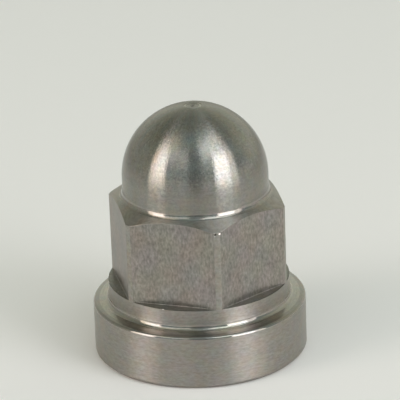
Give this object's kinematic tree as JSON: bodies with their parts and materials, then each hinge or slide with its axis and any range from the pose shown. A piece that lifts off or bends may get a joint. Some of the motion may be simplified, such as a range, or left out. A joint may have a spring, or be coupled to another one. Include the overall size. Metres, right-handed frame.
{
  "type": "cap nut",
  "caption": "Flanged cap nut: a hexagon with a round collar and flange below it and a closed spherical dome above, over a blind threaded hole.",
  "frame": {"origin": "centre of the seat face under the flange", "axes": "+Z along the thread's axis from the seat face to the dome's pole; hexagon corners point along +Y and -Y, flats face +X and -X"},
  "size_m": [0.02, 0.02, 0.0241],
  "materials": {
    "turned_steel": "machined stainless steel: fine turning rings on the dome, collar and flange, satin milled flats"
  },
  "bodies": {
    "root": {"cap_nut": "turned_steel"}
  },
  "joints": []
}
